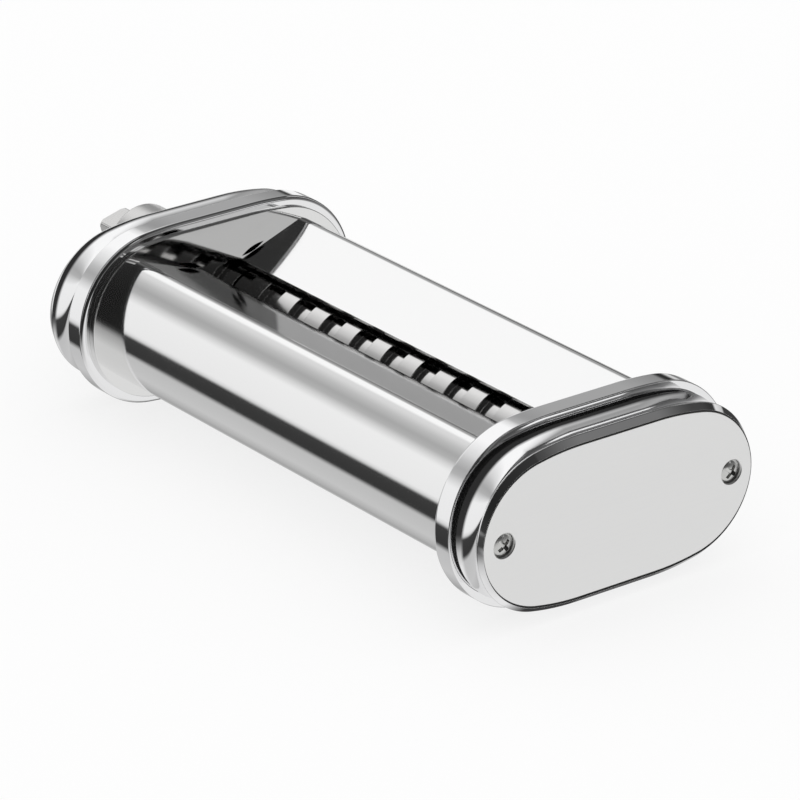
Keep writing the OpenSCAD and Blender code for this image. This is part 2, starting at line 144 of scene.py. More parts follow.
def sweepAlongX(name, section, x0, x1, mirrorY=False, mirrored=False, steps=1):
    # A closed section in Y and Z, carried from x0 to x1, with both ends closed
    section = np.array(section, float) * ([-1, 1] if mirrorY else [1, 1])
    count = len(section)
    xs = np.linspace(x0, x1, steps + 1)
    verts = np.concatenate([np.column_stack([np.full(count, x), section]) for x in xs])
    i = np.arange(count)[None, :]
    s = np.arange(steps)[:, None]
    j = (i + 1) % count
    here, ahead = s * count, (s + 1) * count
    quads = np.stack([here + i, here + j, ahead + j, ahead + i], 2).reshape(-1, 4)
    faces = quads.tolist() + [list(range(count))[::-1], (np.arange(count) + steps * count).tolist()]
    return addMesh(name, verts, faces, mirrored)


def applied(obj):
    # The object's mesh with its modifiers worked in
    graph = bpy.context.evaluated_depsgraph_get()
    mesh = bpy.data.meshes.new_from_object(obj.evaluated_get(graph))
    obj.modifiers.clear()
    old, obj.data = obj.data, mesh
    bpy.data.meshes.remove(old)
    mesh.name = obj.name
    return obj


def combine(obj, others, operation="DIFFERENCE"):
    # The object less the others one by one, or with the operation named, and the others removed
    for other in others:
        step = obj.modifiers.new(operation.lower(), "BOOLEAN")
        step.operation, step.solver, step.object = operation, "EXACT", other
    applied(obj)
    for other in others:
        bpy.data.meshes.remove(other.data)
    return obj


def dress(obj, body, material, replaced=(), sharp=32):
    # Smooth shading with creases past a set angle, and normals weighted by face area so flats stay flat
    work = bmesh.new()
    work.from_mesh(obj.data)
    bmesh.ops.remove_doubles(work, verts=work.verts, dist=1e-6)
    bmesh.ops.recalc_face_normals(work, faces=work.faces)
    work.to_mesh(obj.data)
    work.free()
    obj.data.polygons.foreach_set("use_smooth", np.ones(len(obj.data.polygons), bool))
    obj.data.set_sharp_from_angle(angle=np.radians(sharp))
    weighted = obj.modifiers.new("weighted", "WEIGHTED_NORMAL")
    weighted.keep_sharp = True
    weighted.weight = 50
    applied(obj)
    obj.data.materials.clear()
    obj.data.materials.append(material)
    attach(obj, body)
    if replaced:
        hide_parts(*replaced)
    return obj


def cutRod(x0, x1, radius, y=0.0, z=0.0, mirrored=False, steps=64, countersink=0.0):
    # A round cutter along X, with a flare of the given size at its far end
    profile = [(x0, radius), (x1, radius)]
    if countersink:
        wide = radius + countersink
        profile = [(x0, radius), (x1 - countersink, radius), (x1, wide), (x1 + 1, wide)]
    return sweepAround("cutter", circleOutline(0, steps, y, z), np.array(profile), mirrored=mirrored)


def rodPair(x0, x1, radius, spot, mirrored=False, steps=64, countersink=0.0):
    # Two such cutters, at (-y, z) and (y, z)
    y, z = spot
    return [cutRod(x0, x1, radius, side * y, z, mirrored, steps, countersink) for side in (-1, 1)]


def screwRods(x0, x1, mirrored):
    # Holes for the shanks of a cap's two screws
    return rodPair(x0, x1, fixing["hole"], (fixing["y"], 0), mirrored, fixing["steps"])


def plateHoles(x0, x1, mirrored):
    # Holes for the bushes of both rollers and for the four tie rods
    bushes = rodPair(x0, x1, rollerAxis["bush"], (rollerAxis["y"], rollerAxis["z"]), mirrored)
    return bushes + [cutRod(x0, x1, fixing["hole"], side * y, z, mirrored, fixing["steps"])
                     for side in (-1, 1) for y, z in tieSpots]


# Materials
def newGroup(name, inputs, outputs):
    # An empty shader group with its sockets, and its inner input and output nodes
    group = bpy.data.node_groups.new(name, "ShaderNodeTree")
    for kind, label, value in inputs:
        socket = group.interface.new_socket(label, in_out="INPUT", socket_type=kind)
        if value is not None:
            socket.default_value = value
    for kind, label in outputs:
        group.interface.new_socket(label, in_out="OUTPUT", socket_type=kind)
    return group, group.nodes.new("NodeGroupInput"), group.nodes.new("NodeGroupOutput")


class Wiring:
    # Short ways to add nodes and join them in one tree
    def __init__(self, tree):
        self.tree = tree

    def node(self, kind, **settings):
        made = self.tree.nodes.new("ShaderNode" + kind)
        for key, value in settings.items():
            setattr(made, key, value)
        return made

    def join(self, source, target):
        self.tree.links.new(source, target)

    def feed(self, socket, value):
        # Links a socket, or sets a plain value
        if hasattr(value, "is_output"):
            self.join(value, socket)
        else:
            socket.default_value = value

    def math(self, operation, a, b=0.0, c=0.0, clamp=False):
        made = self.node("Math", operation=operation, use_clamp=clamp)
        for i, value in enumerate((a, b, c)):
            self.feed(made.inputs[i], value)
        return made.outputs[0]

    def noise(self, vector, scale, detail=2.0, rough=0.5):
        # Noise between 0 and 1; a larger scale is finer
        made = self.node("TexNoise")
        self.join(vector, made.inputs["Vector"])
        self.feed(made.inputs["Scale"], scale)
        made.inputs["Detail"].default_value = detail
        made.inputs["Roughness"].default_value = rough
        return made.outputs["Fac"]

    def stretch(self, vector, scale):
        # Coordinates times the scale along each axis
        made = self.node("Mapping")
        self.join(vector, made.inputs["Vector"])
        made.inputs["Scale"].default_value = scale
        return made.outputs["Vector"]

    def range(self, value, a, b, c, d):
        # a to b becomes c to d, and holds outside
        made = self.node("MapRange")
        self.join(value, made.inputs["Value"])
        for i, number in enumerate((a, b, c, d)):
            made.inputs[i + 1].default_value = number
        return made.outputs["Result"]


def buildPolishGroup():
    # Roughness = base + smudge noise + scratches + fine noise; height = broad waves of the polish, less
    # the hairline scratches
    group, start, end = newGroup(
        "polishWear",
        [("NodeSocketFloat", "Base", 0.08), ("NodeSocketFloat", "Smudge", 0.05),
         ("NodeSocketFloat", "Wave", 0.1), ("NodeSocketFloat", "Scratch", 0.1),
         ("NodeSocketVector", "Place", None)],
        [("NodeSocketFloat", "Roughness"), ("NodeSocketFloat", "Height")])
    w = Wiring(group)
    place = start.outputs["Place"]
    smudge = w.noise(place, 38.0, 4.0, 0.6)
    fine = w.noise(w.stretch(place, (1.0, 7.0, 7.0)), 900.0, 2.0, 0.5)
    scratch = w.noise(w.stretch(place, (0.05, 1.0, 1.0)), 4200.0, 2.0, 0.6)
    scratchMask = w.range(scratch, 0.62, 0.72, 0.0, 1.0)
    wave = w.noise(w.stretch(place, (0.35, 1.0, 1.0)), 26.0, 1.0, 0.4)
    smudgeMask = w.range(smudge, 0.35, 0.75, 0.0, 1.0)
    rough = w.math("MULTIPLY_ADD", smudgeMask, start.outputs["Smudge"], start.outputs["Base"])
    rough = w.math("MULTIPLY_ADD", w.math("MULTIPLY", scratchMask, 0.12), start.outputs["Scratch"], rough)
    rough = w.math("MULTIPLY_ADD", w.math("SUBTRACT", fine, 0.5), 0.03, rough, clamp=True)
    height = w.math("MULTIPLY", wave, start.outputs["Wave"])
    height = w.math("MULTIPLY_ADD", w.math("MULTIPLY", scratchMask, -0.02), start.outputs["Scratch"], height)
    w.join(rough, end.inputs["Roughness"])
    w.join(height, end.inputs["Height"])
    return group


def buildGrainGroup():
    # Long streaks: noise on coordinates squeezed along the grain, at two scales, gives tone, roughness
    # and height, and a slow cloud of noise is added to the roughness
    group, start, end = newGroup(
        "brushedGrain",
        [("NodeSocketFloat", "Base", 0.3), ("NodeSocketFloat", "Spread", 0.1),
         ("NodeSocketFloat", "Depth", 0.2), ("NodeSocketFloat", "Streak", 0.3),
         ("NodeSocketVector", "Place", None)],
        [("NodeSocketFloat", "Roughness"), ("NodeSocketFloat", "Height"), ("NodeSocketFloat", "Tone")])
    w = Wiring(group)
    place = start.outputs["Place"]
    coarse = w.noise(place, 260.0, 3.0, 0.6)
    fine = w.noise(place, 1700.0, 3.0, 0.65)
    cloud = w.noise(place, 12.0, 3.0, 0.6)
    streak = w.math("ADD", w.math("MULTIPLY", coarse, 0.4), w.math("MULTIPLY", fine, 0.6))
    swing = w.math("SUBTRACT", streak, 0.5)
    rough = w.math("MULTIPLY_ADD", swing, start.outputs["Spread"], start.outputs["Base"])
    rough = w.math("MULTIPLY_ADD", w.math("SUBTRACT", cloud, 0.5), 0.08, rough, clamp=True)
    w.join(rough, end.inputs["Roughness"])
    w.join(w.math("MULTIPLY", streak, start.outputs["Depth"]), end.inputs["Height"])
    w.join(w.math("MULTIPLY_ADD", swing, start.outputs["Streak"], 1.0), end.inputs["Tone"])
    return group


polishGroup = buildPolishGroup()
grainGroup = buildGrainGroup()


def startMaterial(name):
    # A new material, its wiring and its Principled node
    material = bpy.data.materials.new(name)
    material.use_nodes = True
    tree = material.node_tree
    surface = tree.nodes["Principled BSDF"]
    return material, Wiring(tree), surface


def bumpInto(w, surface, height, strength, distance):
    # Turns a height into the surface's normal
    bump = w.node("Bump")
    bump.inputs["Strength"].default_value = strength
    bump.inputs["Distance"].default_value = distance
    w.join(height, bump.inputs["Height"])
    w.join(bump.outputs["Normal"], surface.inputs["Normal"])


def polishedMetal(name, look):
    # Mirror metal of one tone, with the polish group's roughness and height
    material, w, surface = startMaterial(name)
    place = w.node("TexCoord").outputs["Object"]
    group = w.node("Group", node_tree=polishGroup)
    w.join(place, group.inputs["Place"])
    for key in ("Base", "Smudge", "Wave", "Scratch"):
        group.inputs[key].default_value = look[key]
    surface.inputs["Base Color"].default_value = (*look["tone"], 1)
    surface.inputs["Metallic"].default_value = 1.0
    w.join(group.outputs["Roughness"], surface.inputs["Roughness"])
    bumpInto(w, surface, group.outputs["Height"], look["bump"], 0.0004)
    return material


def brushedMetal(name, look):
    # Satin metal: the grain group on stretched coordinates, its tone multiplied into the colour
    material, w, surface = startMaterial(name)
    place = w.node("TexCoord").outputs["Object"]
    group = w.node("Group", node_tree=grainGroup)
    w.join(w.stretch(place, look["grain"]), group.inputs["Place"])
    for key in ("Base", "Spread", "Depth", "Streak"):
        group.inputs[key].default_value = look[key]
    tint = w.node("Mix", data_type="RGBA", blend_type="MULTIPLY")
    tint.inputs[0].default_value = 1.0
    tint.inputs[6].default_value = (*look["tone"], 1)
    w.join(group.outputs["Tone"], tint.inputs[7])
    w.join(tint.outputs[2], surface.inputs["Base Color"])
    surface.inputs["Metallic"].default_value = 1.0
    w.join(group.outputs["Roughness"], surface.inputs["Roughness"])
    bumpInto(w, surface, group.outputs["Height"], look["bump"], 0.0002)
    return material


def dullSurface(name, look):
    # One speckle noise mixes the dark and the light colour, and sets roughness and height
    material, w, surface = startMaterial(name)
    place = w.node("TexCoord").outputs["Object"]
    speckle = w.noise(place, look["scale"], 4.0, 0.6)
    tint = w.node("Mix", data_type="RGBA")
    tint.inputs[6].default_value = (*look["dark"], 1)
    tint.inputs[7].default_value = (*look["light"], 1)
    w.join(speckle, tint.inputs[0])
    w.join(tint.outputs[2], surface.inputs["Base Color"])
    surface.inputs["Metallic"].default_value = look["metallic"]
    w.join(w.range(speckle, 0.3, 0.7, look["rough"][0], look["rough"][1]), surface.inputs["Roughness"])
    bumpInto(w, surface, speckle, look["bump"], 0.0002)
    return material


chrome = polishedMetal("polishedChrome", {
    "tone": (0.86, 0.86, 0.865), "Base": 0.045, "Smudge": 0.03, "Wave": 0.25, "Scratch": 0.3, "bump": 0.06})
sheetSteel = polishedMetal("polishedSheet", {
    "tone": (0.86, 0.86, 0.86), "Base": 0.06, "Smudge": 0.04, "Wave": 0.5, "Scratch": 0.5, "bump": 0.08})
plateSteel = brushedMetal("satinPlate", {
    "tone": (0.87, 0.87, 0.865), "Base": 0.34, "Spread": 0.10, "Depth": 0.15, "Streak": 0.06, "bump": 0.04,
    "grain": (1.0, 0.04, 1.0)})
sideSteel = brushedMetal("sidePlateSteel", {
    "tone": (0.78, 0.78, 0.775), "Base": 0.07, "Spread": 0.06, "Depth": 0.1, "Streak": 0.04, "bump": 0.02,
    "grain": (1.0, 0.05, 1.0)})
turnedSteel = brushedMetal("turnedSteel", {
    "tone": (0.66, 0.655, 0.65), "Base": 0.28, "Spread": 0.15, "Depth": 0.4, "Streak": 0.25, "bump": 0.12,
    "grain": (1.0, 0.06, 0.06)})
rollerSteel = brushedMetal("rollerSteel", {
    "tone": (0.68, 0.675, 0.67), "Base": 0.13, "Spread": 0.10, "Depth": 0.3, "Streak": 0.10, "bump": 0.06,
    "grain": (1.0, 0.06, 0.06)})
screwSteel = polishedMetal("screwSteel", {
    "tone": (0.62, 0.62, 0.61), "Base": 0.18, "Smudge": 0.1, "Wave": 0.6, "Scratch": 0.8, "bump": 0.15})
bronze = dullSurface("sinteredBronze", {
    "dark": (0.32, 0.20, 0.09), "light": (0.50, 0.34, 0.16), "metallic": 1.0, "rough": (0.35, 0.55),
    "scale": 1500.0, "bump": 0.2})
gearSteel = dullSurface("gearSteel", {
    "dark": (0.30, 0.30, 0.31), "light": (0.50, 0.50, 0.51), "metallic": 1.0, "rough": (0.25, 0.45),
    "scale": 900.0, "bump": 0.15})
rubber = dullSurface("blackSeal", {
    "dark": (0.010, 0.010, 0.010), "light": (0.022, 0.022, 0.022), "metallic": 0.0, "rough": (0.5, 0.7),
    "scale": 2200.0, "bump": 0.3})
comb = dullSurface("combPlastic", {
    "dark": (0.018, 0.018, 0.019), "light": (0.035, 0.035, 0.036), "metallic": 0.0, "rough": (0.4, 0.6),
    "scale": 1800.0, "bump": 0.2})
print("materials ready")


# End caps
flangeShape = {"inner": 1.4, "outer": 0.35, "pocket": 5.0, "postRadius": 3.4}


def makeFlange(name, node, mirrored):
    # The oval rim with rounded edges round a web, less the pocket and the holes, with two screw posts
    s, f, c = station, flangeShape, capShape
    profile = roundCorners([(s["flangeIn"], -3.5), (s["flangeIn"], 0, f["inner"]),
                            (s["flangeOut"], 0, f["outer"]), (s["flangeOut"], -3)], 6)
    shell = sweepAround(name, ovalOutline(flangeOval), profile, mirrored=mirrored)
    pocket = sweepAround("cutter", ovalOutline(flangeOval, -f["pocket"], 24, 3),
                         np.array([(s["webOut"], 0), (s["flangeOut"] + 2, 0)]), mirrored=mirrored)
    x0, x1 = s["flangeIn"] - 1, s["webOut"] + 1
    holes = plateHoles(x0, x1, mirrored)
    if mirrored:
        holes.append(cutRod(x0, x1, inputAxis["bush"], inputAxis["y"], inputAxis["z"], mirrored))
    combine(shell, [pocket] + holes + leafCutters(mirrored))
    postEnd = s["capOut"] - (c["wall"] + c["plate"])
    posts = rodPair(s["webOut"] - 1, postEnd, f["postRadius"], (fixing["y"], 0), mirrored, 40)
    combine(shell, posts, "UNION")
    combine(shell, screwRods(s["webOut"] + 0.2, s["capOut"], mirrored))
    return dress(shell, "frame", chrome, [node])


capShape = {"bevel": 1.9, "noseBevel": 0.8, "dip": 0.85, "wall": 2.6, "lip": 0.03, "seam": (0.1, 0.6),
            "plate": 2.2, "screwHead": 3.7, "screwSeat": 1.5, "spigot": 10.0, "edge": 0.45}


def fullToNose(normals, full, nose):
    # Full where the outline runs level, falling to the ends' value there: nose + (full - nose) |nz|^1.5
    return nose + (full - nose) * np.abs(normals[:, 1]) ** 1.5


def bevelWidth(normals):
    # The bevel's width at each point of the outline
    return fullToNose(normals, capShape["bevel"], capShape["noseBevel"])


def faceOutline(inset=0.0, seam=0.0, noseSteps=44):
    # The end face inside the bevel: point - (bevel + inset + share of the seam) * normal, where the seam
    # is also narrower at the ends
    points, normals = ovalOutline(capOval, 0.0, noseSteps)
    thin, wide = capShape["seam"]
    gap = fullToNose(normals, wide, thin)
    return points - (bevelWidth(normals) + inset + seam * gap)[:, None] * normals, normals


def capProfile():
    # Rear edge, hollow side arc x = mid + r sin a, d = r (1 - cos a) - dip, bevel at 45 degrees, flat face
    c = capShape
    half = (station["capOut"] - station["capIn"] - c["bevel"]) / 2
    radius = (half ** 2 + c["dip"] ** 2) / (2 * c["dip"])
    turn = np.arcsin(half / radius)
    a = np.linspace(-turn, turn, 29)[1:-1]
    hollow = np.column_stack([station["capIn"] + half + radius * np.sin(a),
                              radius * (1 - np.cos(a)) - c["dip"], np.zeros(len(a))])
    corners = [(station["capIn"], -4.4), (station["capIn"], 0, c["edge"])] + [tuple(p) for p in hollow]
    corners += [(station["capOut"] - c["bevel"], 0, c["edge"]),
                (station["capOut"], -c["bevel"], 0.1), (station["capOut"], -3.9)]
    return roundCorners(corners, 4)


def makeCap(name, node, mirrored, inlay):
    # The profile round the oval, its bevel narrowed at the ends, hollowed to the wall; then either the
    # inlay's seat and screw holes, or the bore for the boss and countersunk screw seats
    c, s = capShape, station
    outline, profile = ovalOutline(capOval), capProfile()
    share = np.clip((profile[:, 0] - s["capOut"] + c["bevel"]) / c["bevel"], 0, 1)
    give = (c["bevel"] - bevelWidth(outline[1]))[:, None] * share[None, :]
    shell = sweepAround(name, outline, profile, mirrored=mirrored, bend=give)
    hollow = np.array([(s["capIn"] - 1, 0), (s["capOut"] - c["wall"] - inlay, 0)])
    cutters = [sweepAround("cutter", ovalOutline(capOval, -c["wall"] - c["bevel"], 24, 3), hollow,
                           mirrored=mirrored)]
    if inlay:
        seat = np.array([(s["capOut"] - inlay, 0), (s["capOut"] + 1, 0)])
        cutters.append(sweepAround("cutter", faceOutline(c["lip"]), seat, mirrored=mirrored))
        cutters += screwRods(s["webOut"], s["capOut"], mirrored)
    else:
        cutters.append(cutRod(s["capIn"], s["capOut"] + 1, c["spigot"], 0, inputAxis["z"], mirrored, 96))
        seatX = s["capOut"] - c["screwSeat"]
        cutters += screwRods(s["webOut"], seatX, mirrored)
        cutters += rodPair(seatX, s["capOut"], c["screwHead"], (fixing["y"], 0), mirrored, 64, 0.18)
    combine(shell, cutters)
    return dress(shell, "frame", chrome, [node])


def makeEndPlate():
    # A flat plate on the face outline, drilled and countersunk, and a black ring round it that is painted
    # shade in the seam
    c, s = capShape, station
    profile = roundCorners([(s["capOut"] - c["plate"], -4), (s["capOut"] - c["plate"], 0, 0.1),
                            (s["capOut"], 0, 0.12), (s["capOut"], -4)], 4)
    plate = sweepAround("endPlate", faceOutline(c["lip"], 1.0), profile)
    cutters = screwRods(s["capOut"] - 3, s["capOut"] + 1, False)
    seatX = s["capOut"] - c["screwSeat"]
    cutters += rodPair(seatX, s["capOut"], c["screwHead"], (fixing["y"], 0), False, 72, 0.2)
    combine(plate, cutters)
    dress(plate, "frame", plateSteel, ["end_plate"])
    # a thin black ring fills the seam round the plate: painted shade, a dark part standing in for the
    # shadowed gap
    points, normals = faceOutline(c["lip"], 0.0)
    gap = np.sum((points - faceOutline(c["lip"], 1.0)[0]) * normals, 1)
    x0, x1 = s["capOut"] - c["plate"], s["capOut"] - 0.3
    ring = np.array([(x0, 0.0), (x1, 0.0), (x1, -1.0), (x0, -1.0)])
    shrink = np.where(ring[:, 1] < 0, 1.0, 0.0)[None, :] * (1 - gap)[:, None]
    seamShade = sweepAround("plateSeamShade", (points, normals), ring, closed=True, bend=shrink)
    # the black seal colour on this ring is painted shade, not a real gasket
    return dress(seamShade, "frame", rubber)


screwShape = {"head": 3.6, "rim": 0.5, "dome": 1.0, "shank": 2.0, "recess": 1.35, "arm": (1.3, 2.9),
              "armWidth": (0.8, 1.4), "turn": (38.0, 52.0)}  # arm: at the slot's foot and above the crown


def makeScrews(name, node, mirrored):
    # Shank, low rim and a round crown x = top - dome (r / head)^2, with a cross of two tapered slots cut in
    p, s = screwShape, station
    seat = s["capOut"] - capShape["screwSeat"]
    top = seat + p["rim"] + p["dome"]
    across = np.linspace(1, 0.006, 16)[1:]
    crown = np.column_stack([top - p["dome"] * across ** 2, p["head"] * across, np.zeros(15)])
    corners = [(s["webOut"] + 2, 0.02), (s["webOut"] + 2, p["shank"], 0.3), (seat, p["shank"], 0.1),
               (seat, p["head"], 0.08), (seat + p["rim"], p["head"], 0.08)] + [tuple(q) for q in crown]
    profile = roundCorners(corners, 4)
    made = None
    for side, turn in zip((-1, 1), p["turn"]):
        y = side * fixing["y"]
        screw = sweepAround(name, circleOutline(0, 64, y, 0), profile, mirrored=mirrored)
        slots = []
        for angle in np.radians((turn, turn + 90)):
            u, v = np.array([np.cos(angle), np.sin(angle)]), np.array([-np.sin(angle), np.cos(angle)])
            rings = []
            for x, reach, width in zip((top - p["recess"], top + 0.4), p["arm"], p["armWidth"]):
                long, wide = u * reach, v * width / 2
                rings += [(x, y + q[0], q[1]) for q in (long + wide, wide - long, -long - wide, long - wide)]
            slots.append(addMesh("cutter", rings, [(0, 1, 2, 3), (7, 6, 5, 4), (0, 4, 5, 1), (1, 5, 6, 2),
                                                   (2, 6, 7, 3), (3, 7, 4, 0)], mirrored))
        combine(screw, slots)
        made = screw if made is None else joined(made, screw)
    return dress(made, "frame", screwSteel, [node])


def joined(first, second):
    # Both meshes in the first object
    work = bmesh.new()
    work.from_mesh(first.data)
    work.from_mesh(second.data)
    work.to_mesh(first.data)
    work.free()
    bpy.data.meshes.remove(second.data)
    return first


# Body
coverShape = {"centre": 18.0, "radius": 24.5, "sheet": 1.2, "slot": (7.3, 12.3), "ridge": (30.0, 20.3),
              "bend": 4.2, "low": -92.0, "crease": (0.5, 0.6), "tuck": 0.45}
sideShape = {"inset": 3.0, "edge": 0.25, "lean": 3.6, "leaf": (8.8, 1.5), "leafSpot": (5.0, 0.85)}


def coverSection(creased):
    # Outer arc about the cover's centre, a bend tangent to it and to the trough slope, the straight slope
    # with a fine crease at its head where asked for, and back along the inside
    c = coverShape
    centre, outer, inner = np.array([c["centre"], 0.0]), c["radius"], c["radius"] - c["sheet"]
    slot, ridge, r = np.array(c["slot"]), np.array(c["ridge"]), c["bend"]
    along = (ridge - slot) / np.linalg.norm(ridge - slot)
    across = np.array([-along[1], along[0]])
    # the bend's centre lies r under the slope line and r inside the arc
    base = slot - across * r - centre
    run = -base @ along + np.sqrt((base @ along) ** 2 - base @ base + (outer - r) ** 2)
    bendCentre = centre + base + run * along
    wallTurn = np.arctan2(*(bendCentre - centre)[::-1])
    a = np.linspace(np.radians(c["low"]), wallTurn, 72)
    wall = centre + outer * np.column_stack([np.cos(a), np.sin(a)])
    b = np.linspace(wallTurn, np.arctan2(across[1], across[0]), 26)[1:]
    bead = bendCentre + r * np.column_stack([np.cos(b), np.sin(b)])
    crease = bead[-1] - along * 0.05
    width, depth = c["crease"]
    groove = [crease, crease - along * 0.05 - across * depth, crease - along * width - across * depth,
              crease - along * (width + 0.05)]
    lipTop = slot + along * 0.35
    lip = [slot + along * 0.12 - across * 0.12, slot - across * 0.35, slot - across * (c["sheet"] - 0.35),
           slot + along * 0.3 - across * c["sheet"]]
    under = slot - across * c["sheet"]
    # where the underside of the slope meets the inner arc
    t = np.linspace(0, 30, 3001)
    line = under + t[:, None] * along
    hit = line[np.argmax(np.hypot(*(line - centre).T) > inner)]
    hitTurn = np.arctan2(hit[1], hit[0] - c["centre"])
    d = np.linspace(hitTurn, np.radians(c["low"]), 66)
    inside = centre + inner * np.column_stack([np.cos(d), np.sin(d)])
    return np.concatenate([wall, bead, groove if creased else [crease], [lipTop], lip, inside])


def makeCover(name, node, front):
    # The section carried along X, a little into both side plates
    reach = station["plateIn"] + coverShape["tuck"]
    cover = sweepAlongX(name, coverSection(front), -reach, reach, mirrorY=front, steps=12)
    return dress(cover, "frame", sheetSteel, [node], sharp=28)


def leafCutters(mirrored):
    # Two mirrored arcs make a leaf, laid along the foot of each slope and carried through plate and web
    s, slot, ridge = station, np.array(coverShape["slot"]), np.array(coverShape["ridge"])
    slope = np.arctan2(*(ridge - slot)[::-1])
    length, width = sideShape["leaf"]
    radius = (length ** 2 / 4 + width ** 2 / 4) / width
    reach = np.arcsin(length / 2 / radius)
    t = np.linspace(-reach, reach, 15)
    upper = np.column_stack([radius * np.sin(t), radius * np.cos(t) - radius + width / 2])
    leaf = np.concatenate([upper, -upper[1:-1]])
    along = np.array([np.cos(slope), np.sin(slope)])
    across = np.array([-np.sin(slope), np.cos(slope)])
    spot = slot + sideShape["leafSpot"][0] * along + sideShape["leafSpot"][1] * across
    placed = leaf @ np.array([along, across]) + spot
    return [sweepAlongX("cutter", placed * [side, 1], s["plateIn"] - 1, s["webOut"] + 0.5, mirrored=mirrored)
            for side in (-1, 1)]


def leanOut(plate, start, lean, side):
    # Above the start height the inner face leans outwards: x moves by side (z - start) tan lean
    work = bmesh.new()
    work.from_mesh(plate.data)
    everything = list(work.verts) + list(work.edges) + list(work.faces)
    bmesh.ops.bisect_plane(work, geom=everything, plane_co=(0, 0, start), plane_no=(0, 0, 1))
    work.to_mesh(plate.data)
    work.free()
    points = np.empty(len(plate.data.vertices) * 3)
    plate.data.vertices.foreach_get("co", points)
    points = points.reshape(-1, 3)
    inner = np.abs(points[:, 0] - middle[0] / 1000) < station["plateIn"] / 1000 + 0.0005
    points[inner, 0] += side * np.clip(points[inner, 2] - start, 0, None) * np.tan(np.radians(lean))
    plate.data.vertices.foreach_set("co", points.ravel())


def makeSidePlate(name, node, mirrored):
    # A flat oval inside the flange's edge, leaning out above the slot, less its holes and leaf slots
    s, p = station, sideShape
    profile = roundCorners([(s["plateIn"], -6), (s["plateIn"], -p["inset"], p["edge"]),
                            (s["flangeIn"], -p["inset"], 0.1), (s["flangeIn"], -6)], 3)
    plate = sweepAround(name, ovalOutline(flangeOval), profile, mirrored=mirrored)
    leanOut(plate, (middle[2] + coverShape["slot"][1]) / 1000, p["lean"], -1 if mirrored else 1)
    combine(plate, plateHoles(s["plateIn"] - 1, s["flangeIn"] + 1, mirrored) + leafCutters(mirrored))
    return dress(plate, "frame", sideSteel, [node])


rollerShape = {"disc": 12.3, "core": 10.0, "strip": 7.6, "count": 11, "gap": 0.1, "journal": 5.0, "edge": 0.2,
               "foot": 0.15, "chamfer": 0.3, "ringDepth": 0.5, "ring": (0.4, 1.3)}
rearPlace = {"side": 1, "firstDisc": -76.0, "driveEnd": 97.6, "idleEnd": 95.8}
frontPlace = {"side": -1, "firstDisc": -83.6, "driveEnd": 90.1, "idleEnd": 95.8}


def makeRoller(name, node, body, place):
    # Turned bar: journal, core, and discs as a stepped profile (x, radius) with small rounded edges
    r = rollerShape
    pitch = 2 * r["strip"]
    stack = r["count"] * pitch / 2
    journal, groove = r["journal"], r["journal"] - r["ringDepth"]
    ringOut, ringIn = r["ring"]
    drive, idle, firstDisc = place["driveEnd"], place["idleEnd"], place["firstDisc"]
    discFirst = firstDisc <= -stack + 1
    corners = [(-drive, 0.02), (-drive, journal, r["chamfer"]), (-drive + ringOut, journal),
               (-drive + ringOut, groove), (-drive + ringIn, groove), (-drive + ringIn, journal),
               (-stack, journal)]
    if not discFirst:
        corners.append((-stack, r["core"], r["edge"]))
    for i in range(r["count"]):
        x = firstDisc + pitch * i
        end = x + r["strip"] - r["gap"]
        if i or not discFirst:
            corners.append((x, r["core"], r["foot"]))
        corners += [(x, r["disc"], r["edge"]), (end, r["disc"], r["edge"])]
        if x + r["strip"] < stack - 1:
            corners.append((end, r["core"], r["foot"]))
    if discFirst:
        corners.append((stack, r["core"], r["edge"]))
    corners += [(stack, journal), (idle - ringIn, journal), (idle - ringIn, groove), (idle - ringOut, groove),
                (idle - ringOut, journal), (idle, journal, r["chamfer"]), (idle, 0.02)]
    axis = circleOutline(0, 112, place["side"] * rollerAxis["y"], rollerAxis["z"])
    roller = sweepAround(name, axis, roundCorners(corners, 3))
    return dress(roller, body, rollerSteel, [node])


# Drive end
driveShape = {"boss": 12.5, "bore": 7.0, "chamfer": 1.0, "spigot": 10.0, "tang": 10.3, "tilt": 15.0,
              "tangCorner": 0.7, "tangBevel": 1.2, "tangTip": 0.72, "journal": 5.0, "inner": 4.0,
              "gear": (90.9, 96.3), "ring": (0.5, 0.9)}  # ring: depth and width of its groove


def makeBoss():
    # A turned ring profile about the input axis: the spigot through the housing's wall, then the boss
    s, d = station, driveShape
    wallIn = s["capOut"] - capShape["wall"]
    profile = roundCorners([(wallIn, d["bore"]), (wallIn, d["spigot"], 0.2), (s["capOut"], d["spigot"]),
                            (s["capOut"], d["boss"], 0.25), (s["bossOut"], d["boss"], d["chamfer"]),
                            (s["bossOut"], d["bore"], 0.3)], 6, closed=True)
    axis = circleOutline(0, 128, inputAxis["y"], inputAxis["z"])
    boss = sweepAround("hubBoss", axis, profile, closed=True, mirrored=True)
    return dress(boss, "frame", turnedSteel, ["hub_boss"])


